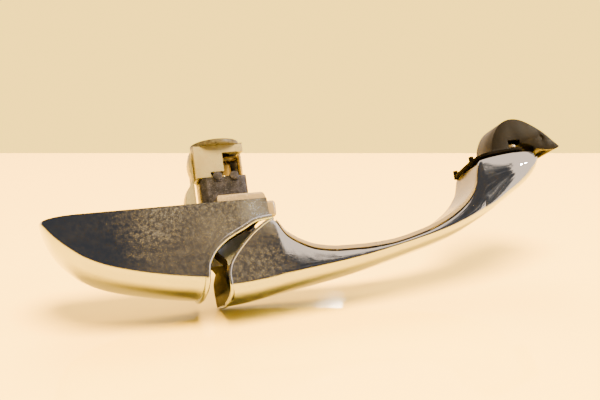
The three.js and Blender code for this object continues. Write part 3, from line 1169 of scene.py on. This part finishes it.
@dataclass
class PullGrip:
    """The bowed grip: chromed shell, satin liner, end wall and door pad."""

    finishes: Finishes
    left: float = -8.5
    right: float = 160.9
    wall: float = 1.3
    lip_radius: float = 0.7
    tongue_bottom: float = -25.0
    tongue_top: float = -12.6
    tongue_side: float = -6.0
    top: Ease = Ease(
        (-5.5, -8.8), (19, -9.2), (24.5, -15.6), (31, -20), (38, -22.8), (48, -24.3),
        (60, -24.5), (72, -23.9), (90, -20.2), (103, -15.4), (111.5, -10.6), (117.5, -5.4),
        (121, 0), (123, 6.4), (125, 9.6), (131, 11.2), (139, 12.2), (150, 13.2), (160.9, 14),
    )
    crease: Ease = Ease(
        (-5.5, -36.6), (5, -36.2), (26.5, -33.7), (56, -30), (77, -26.2), (107, -19.6),
        (127, -12.4), (136, -7.6), (146, -2), (153, 3), (158, 8), (160.9, 13.6),
    )
    crown: Ease = Ease((-5.5, 4.6), (60, 4), (110, 2.8), (130, 2), (150, 1.6), (160.9, 0.1))
    slant: Ease = Ease((-5.5, 4.6), (60, 3.4), (110, 2.6), (130, 1.8), (150, 1.4), (160.9, 0.1))
    wide: Ease = Ease((-5.5, 17), (20, 16.6), (60, 15), (100, 14), (130, 14.4))
    round: Ease = Ease((-8, 0.0), (95, 0.2), (122, 1.3), (143, 2.4), (158, 1.6), (160.9, 0.1))
    sunk: Ease = Ease((19, 0.0), (23, 2.3), (116, 2.3), (122, 1.6), (124.5, 0.0))
    seam: Ease = Ease(
        (-60, -3.0), (-48, -3.4), (-33, -4.3), (-28.6, -3.2), (-24.6, -0.6), (-16.8, 6.9),
        (-11.2, 14.6), (-8.2, 20.5), (-6, 21),
    )

    def half(self, x: float) -> float:
        """Half the grip's width at a station."""
        s = min(max((x - 136) / (self.right - 136), 0.0), 1.0)
        return self.wide(x) * max(1 - s**2.5, 1e-6) ** (1 / 2.2)

    def section(self, x: float) -> Section:
        """The chromed shell's cross-section.

        Args:
            x: the station along the handle.

        Returns:
            The section.
        """
        half = self.half(x)
        return Section(
            half=max(half, 0.05), top=self.top(x) - self.sunk(x), crease=self.crease(x),
            crown=self.crown(x), slant=self.slant(x), soft=min(1.3, 0.1 * half + 0.05),
            bulge=min(self.round(x), 0.18 * half),
        )

    def liner_section(self, x: float) -> Section:
        """The liner's cross-section: a slab over the shell's finger side.

        Args:
            x: the station along the handle.

        Returns:
            The section.
        """
        half = self.half(x) - 1.45
        return Section(
            half=half, top=self.top(x), crease=self.top(x) - self.sunk(x) + 0.12,
            crown=0.02, slant=0.0, rim_in=0.25, soft=0.45,
        )

    def shell(self) -> bpy.types.Object:
        """The chromed shell."""
        sheet = Skin(
            self.section, self.left, self.right, closed=True,
            trim_start=self.seam, ease_stop=True,
        )
        bm = walled(sheet, 200, self.wall)
        self.sheet = sheet
        lip = [(x + 0.3, y, z) for x, y, z in sheet.edge(0.0) if z < self.top(x) - 0.2]
        finish_piece(
            tube(lip, self.lip_radius), "grip_seam_lip", Body.GRIP,
            self.finishes.chrome,
        )
        return finish_piece(
            bm, "grip_skin", Body.GRIP, self.finishes.chrome, ["grip_shell"],
            smooth=48,
        )

    def end_wall(self) -> bpy.types.Object:
        """The inner moulding's end, seen through the seam."""
        bm = bmesh.new()
        bmesh.ops.create_grid(bm, x_segments=12, y_segments=48, size=1.0)
        rim = self.sheet.edge(0.0)[:-1:2]
        near = sorted((z, y) for x, y, z in rim if y < 0)
        far = sorted((z, y) for x, y, z in rim if y >= 0)
        lowest = max(near[0][0], far[0][0]) + 1.5
        for vert in bm.verts:
            across = (vert.co.x + 1) / 2
            z = lowest + (-10.6 - lowest) * (vert.co.y + 1) / 2
            y0 = float(np.interp(z, [p[0] for p in near], [p[1] for p in near])) + 1.0
            y1 = float(np.interp(z, [p[0] for p in far], [p[1] for p in far])) - 1.0
            vert.co = (self.seam(z) + 1.6 - 3.0 * across, y0 + (y1 - y0) * across, z)
        bmesh.ops.solidify(bm, geom=bm.faces[:], thickness=1.0)
        return finish_piece(
            bm, "grip_end_wall", Body.GRIP, self.finishes.core, smooth=40
        )

    def tongue(self, cap_seam: Ease) -> bpy.types.Object:
        """The flat tongue that reaches from the grip's end towards the cap.

        Args:
            cap_seam: the cap's edge of the seam.

        Returns:
            The tongue.
        """
        bm = bmesh.new()
        bmesh.ops.create_grid(bm, x_segments=8, y_segments=30, size=1.0)
        for vert in bm.verts:
            z = self.tongue_bottom + (self.tongue_top - self.tongue_bottom) * (vert.co.y + 1) / 2
            left, right = cap_seam(z) + 0.6, self.seam(z) + 1.2
            vert.co = (left + (right - left) * (vert.co.x + 1) / 2, self.tongue_side, z)
        bmesh.ops.solidify(bm, geom=bm.faces[:], thickness=2.0)
        return finish_piece(
            bm, "grip_tongue", Body.GRIP, self.finishes.tongue, smooth=40
        )

    def liner(self) -> bpy.types.Object:
        """The satin liner on the finger side."""
        sheet = Skin(self.liner_section, 20.6, 123.6, closed=True)
        bm = sheet.mesh(along=150, around=60)
        bmesh.ops.holes_fill(bm, edges=[e for e in bm.edges if e.is_boundary])
        return finish_piece(
            bm, "finger_liner", Body.GRIP, self.finishes.liner, ["grip_liner"],
            smooth=50,
        )

    def build(self) -> None:
        """Makes every piece of the grip."""
        f = self.finishes
        self.shell()
        self.end_wall()
        self.tongue(EndCap.seam)
        self.liner()
        refined("pivot_hook", Body.GRIP, f.plastic, 0.35, angle=28)
        refined("hook_screw", Body.GRIP, f.steel, 0.08)
        refined("front_pad", Body.GRIP, f.rubber, 0.2)


# --------------------------------------------------------------------------- surroundings


@dataclass
class Studio:
    """Cream table, pale backdrop, a dim room in front and a few lamps."""

    floor_drop: float
    heading: float = math.radians(17.0)
    eye: Place = (-0.0528, -0.4240, 0.1364)
    tilt: float = math.radians(17.0)
    lens: float = 60.0
    back_edge: float = 0.712
    middle: Place = (0.05, 0.0, 0.0)
    wall: Color = (3.4, 2.15, 0.32)
    bright_side: Place = (0.80, 0.55, 0.0)

    def ahead(self) -> Vector:
        """Level direction that the camera faces."""
        return Vector((math.sin(self.heading), math.cos(self.heading), 0.0))

    def table(self) -> bpy.types.Object:
        """The table top, whose back edge lies behind the handle."""
        bm = bmesh.new()
        bmesh.ops.create_grid(bm, x_segments=1, y_segments=1, size=1.0)
        for vert in bm.verts:
            side, depth = vert.co.x * 1.9, (-2.2 if vert.co.y < 0 else self.back_edge)
            place = Vector(self.eye) + self.ahead() * depth
            place += Vector((self.ahead().y, -self.ahead().x, 0)) * side
            vert.co = (place.x, place.y, self.floor_drop)
        mesh = bpy.data.meshes.new("table")
        bm.to_mesh(mesh)
        bm.free()
        mesh.materials.append(TableTop().build())
        table = bpy.data.objects.new("table", mesh)
        bpy.context.scene.collection.objects.link(table)
        table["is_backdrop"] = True
        # The grip's belly rests on the table, so a pull lifts the cap and keeps the table there.
        table.parent = frame["bodies"][Body.GRIP.value]
        return table

    def camera(self) -> None:
        """The main view."""
        data = bpy.data.cameras.new("camera")
        data.lens = self.lens
        data.sensor_width = 36.0
        data.clip_start = 0.01
        cam = bpy.data.objects.new("camera", data)
        bpy.context.scene.collection.objects.link(cam)
        look = self.ahead() * math.cos(self.tilt) + Vector((0, 0, -math.sin(self.tilt)))
        cam.location = self.eye
        cam.rotation_euler = look.to_track_quat("-Z", "Y").to_euler()
        bpy.context.scene.camera = cam

    def lamp(
        self,
        name: str,
        place: Sequence[float],
        power: float,
        size: float,
        color: Sequence[float],
        mirrored: bool,
    ) -> None:
        """An area lamp that faces the handle.

        Args:
            name: its name.
            place: where it hangs.
            power: in watts.
            size: width in metres.
            color: its light.
            mirrored: whether the chrome shows it.
        """
        data = bpy.data.lights.new(name, "AREA")
        data.energy = power
        data.size = size
        data.shape = "DISK"
        data.color = color
        obj = bpy.data.objects.new(name, data)
        obj.location = place
        aim = Vector(self.middle) - Vector(place)
        obj.rotation_euler = aim.to_track_quat("-Z", "Y").to_euler()
        obj.visible_glossy = mirrored
        bpy.context.scene.collection.objects.link(obj)

    def strip_lamp(self, name: str, across: float, down: float, turn: float, power: float) -> None:
        """A short strip lamp behind the table that the glossy table mirrors.

        Args:
            name: its name.
            across: tangent of the sight line's angle from the middle of the view.
            down: tangent of its angle below the view's axis.
            turn: roll of the strip in degrees.
            power: in watts.
        """
        ahead = self.ahead()
        side = Vector((ahead.y, -ahead.x, 0))
        axis = ahead * math.cos(self.tilt) + Vector((0, 0, -math.sin(self.tilt)))
        rise = side.cross(axis)
        ray = (axis + side * across - rise * down).normalized()
        eye = Vector(self.eye)
        hit = eye + ray * ((self.floor_drop - eye.z) / ray.z)
        place = hit + Vector((ray.x, ray.y, -ray.z)) * 2.0
        data = bpy.data.lights.new(name, "AREA")
        data.energy, data.shape = power, "RECTANGLE"
        data.size, data.size_y = 0.075, 0.010
        data.color = (1.0, 0.93, 0.78)
        obj = bpy.data.objects.new(name, data)
        obj.location = place
        face = (hit - place).to_track_quat("-Z", "Y").to_matrix().to_4x4()
        obj.rotation_euler = (face @ Matrix.Rotation(math.radians(turn), 4, "Z")).to_euler()
        bpy.context.scene.collection.objects.link(obj)

    def world(self) -> None:
        """Pale warm wall behind and to the right, a dim room in front."""
        world = bpy.data.worlds.new("room")
        bpy.context.scene.world = world
        world.use_nodes = True
        world.node_tree.nodes.clear()
        sky = Tree(world.node_tree)
        ray = sky.node("ShaderNodeTexCoord", None, None, "Generated")
        facing = sky.node(
            "ShaderNodeVectorMath",
            {"operation": "DOT_PRODUCT"},
            {0: ray, 1: self.bright_side},
            "Value",
        )
        clutter = sky.node("ShaderNodeTexNoise", None, {"Vector": ray, "Scale": 6.5, "Detail": 2.5})
        stops = (
            (0.30, (0.036, 0.034, 0.030, 1.0)),
            (0.39, (0.13, 0.11, 0.08, 1.0)),
            (0.50, (1.0, 0.70, 0.42, 1.0)),
        )
        glow = sky.node("ShaderNodeValToRGB", {"stops": stops}, {0: clutter * 0.8 + facing})
        room = sky.node("ShaderNodeBackground", None, {"Color": glow, "Strength": 2.6})
        wall = sky.node("ShaderNodeBackground", None, {"Color": (*self.wall, 1.0)})
        seen = sky.node("ShaderNodeLightPath", None, None, "Is Camera Ray")
        both = sky.node("ShaderNodeMixShader", None, {0: seen, 1: room, 2: wall})
        out = sky.tree.nodes.new("ShaderNodeOutputWorld")
        sky.tree.links.new(both.socket, out.inputs["Surface"])

    def build(self) -> None:
        """Sets up the table, light and camera."""
        self.table()
        self.camera()
        self.world()
        warm, white = (1.0, 0.54, 0.11), (1.0, 0.9, 0.7)
        self.lamp("room_light", (0.1, -0.4, 1.3), 205.0, 0.75, warm, False)
        self.lamp("back_light", (0.2, 0.9, 0.9), 45.0, 0.8, warm, False)
        self.lamp("ceiling_lamp_a", (0.95, -0.42, 0.75), 4.0, 0.06, white, True)
        self.lamp("ceiling_lamp_b", (1.05, -0.30, 0.62), 3.0, 0.05, white, True)
        self.strip_lamp("strip_a", 0.028, 0.112, 24.0, 0.3)
        self.strip_lamp("strip_b", 0.027, 0.158, 20.0, 0.3)


def save_size() -> None:
    """Brings the scene's transforms up to date.
    """
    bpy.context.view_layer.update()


def main() -> None:
    """Builds the handle and its surroundings."""
    logging.basicConfig(level=logging.INFO, format="%(name)s %(message)s")
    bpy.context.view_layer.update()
    finishes = Finishes()
    EndCap(finishes).build()
    LockTower(finishes).build()
    PullGrip(finishes).build()
    save_size()
    Studio(floor_drop=float(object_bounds()[0].z) - 0.0002).build()


if __name__ == "__main__":
    main()
